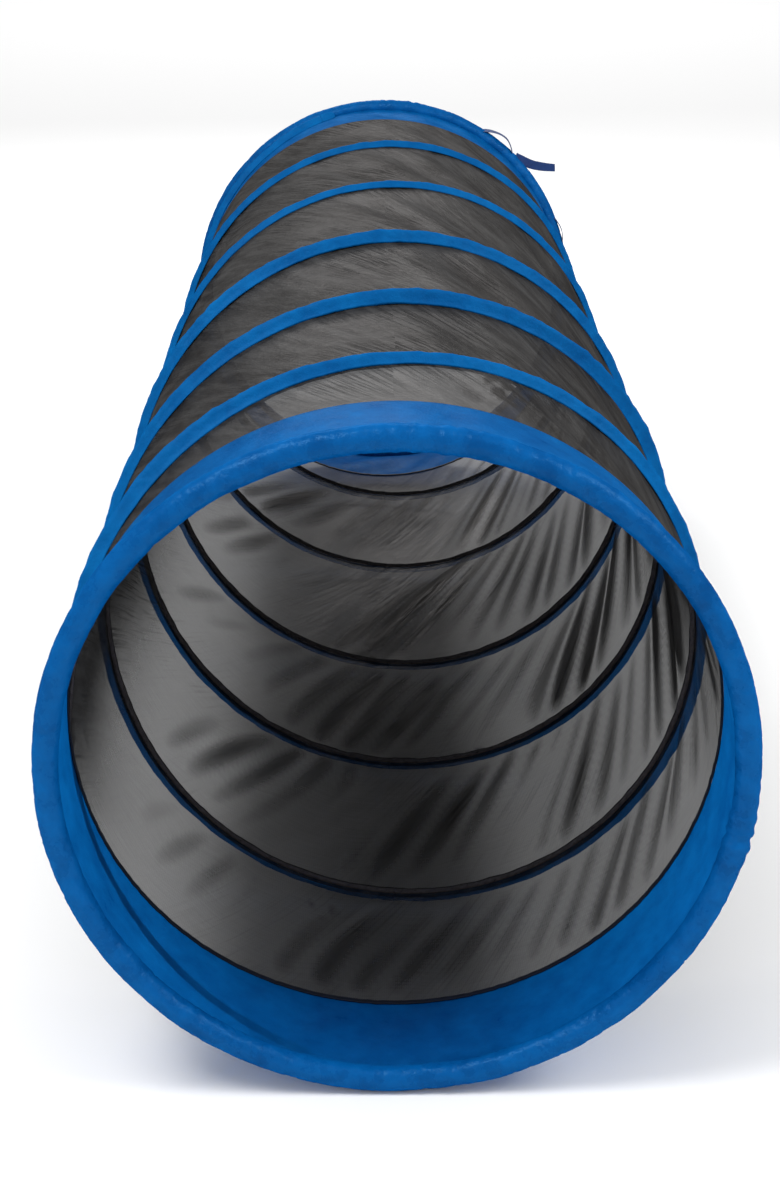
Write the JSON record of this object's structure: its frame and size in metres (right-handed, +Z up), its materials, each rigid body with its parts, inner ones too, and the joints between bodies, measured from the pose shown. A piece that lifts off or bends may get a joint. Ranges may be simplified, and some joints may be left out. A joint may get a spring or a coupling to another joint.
{
  "type": "agility tunnel",
  "caption": "Pop-up mesh agility tunnel for dogs: a spiral-wire tube with padded nylon rims and hems at both mouths and tie ribbons to hold it folded.",
  "frame": {"origin": "on the floor under the middle of the tunnel, at the bottom centre of its bounding box", "axes": "+Y along the tunnel from the front mouth to the rear mouth, +Z up, +X to the right of someone looking into the front mouth"},
  "size_m": [0.6299, 1.959, 0.6239],
  "materials": {
    "spring_steel": "bright drawn spring steel wire",
    "rim_nylon": "glossy blue coated nylon, puckered over padding",
    "hem_nylon": "thin blue coated nylon, slightly see-through",
    "coil_casing": "blue nylon casing, lightly puckered",
    "mesh": "sheer black knitted polyester mesh",
    "binding_tape": "dark woven polyester tape",
    "ribbon": "navy woven nylon ribbon"
  },
  "bodies": {
    "front_end": {"front_ring_wire": "spring_steel", "front_ring_ferrule": "spring_steel", "front_rim_sleeve": "rim_nylon", "front_hem_band": "hem_nylon", "front_seam_tape": "binding_tape", "coil_end_cap_front": "binding_tape", "coil_wire_1": "spring_steel", "coil_casing_1": "coil_casing", "mesh_bay_1": "mesh"},
    "section_two": {"coil_wire_2": "spring_steel", "coil_casing_2": "coil_casing", "mesh_bay_2": "mesh"},
    "section_three": {"coil_wire_3": "spring_steel", "coil_casing_3": "coil_casing", "mesh_bay_3": "mesh"},
    "section_four": {"coil_wire_4": "spring_steel", "coil_casing_4": "coil_casing", "mesh_bay_4": "mesh"},
    "section_five": {"coil_wire_5": "spring_steel", "coil_casing_5": "coil_casing", "mesh_bay_5": "mesh"},
    "rear_end": {"coil_wire_6": "spring_steel", "coil_casing_6": "coil_casing", "mesh_bay_6": "mesh", "coil_end_cap_rear": "binding_tape", "rear_seam_tape": "binding_tape", "rear_hem_band": "hem_nylon", "rear_rim_sleeve": "rim_nylon", "rear_ring_ferrule": "spring_steel", "rear_ring_wire": "spring_steel", "tie_loop_top": "ribbon", "tie_end_top": "ribbon", "tie_tab_left": "ribbon", "tie_strap_right": "ribbon"}
  },
  "joints": [
    {"name": "collapse", "type": "slide", "parent": "front_end", "child": "rear_end", "axis": [0, -1, 0], "range_m": [0, 1.835], "stiffness_N_per_m": 12, "springref_m": -0.25, "deforming": ["coil_wire_1", "coil_casing_1", "mesh_bay_1", "front_hem_band", "front_seam_tape", "coil_wire_6", "coil_casing_6", "mesh_bay_6", "rear_hem_band", "rear_seam_tape"]},
    {"name": "section_two_slide", "type": "slide", "parent": "front_end", "child": "section_two", "axis": [0, -1, 0], "range_m": [0, 0.4715], "deforming": ["coil_wire_2", "coil_casing_2", "mesh_bay_2"]},
    {"name": "section_three_slide", "type": "slide", "parent": "front_end", "child": "section_three", "axis": [0, -1, 0], "range_m": [0, 0.7764], "deforming": ["coil_wire_3", "coil_casing_3", "mesh_bay_3"]},
    {"name": "section_four_slide", "type": "slide", "parent": "front_end", "child": "section_four", "axis": [0, -1, 0], "range_m": [0, 1.1076], "deforming": ["coil_wire_4", "coil_casing_4", "mesh_bay_4"]},
    {"name": "section_five_slide", "type": "slide", "parent": "front_end", "child": "section_five", "axis": [0, -1, 0], "range_m": [0, 1.4581], "deforming": ["coil_wire_5", "coil_casing_5", "mesh_bay_5"]}
  ],
  "couplings": [
    {"joint": "section_two_slide", "follows": "collapse", "ratio": 0.25667},
    {"joint": "section_three_slide", "follows": "collapse", "ratio": 0.42282},
    {"joint": "section_four_slide", "follows": "collapse", "ratio": 0.60335},
    {"joint": "section_five_slide", "follows": "collapse", "ratio": 0.79435}
  ]
}
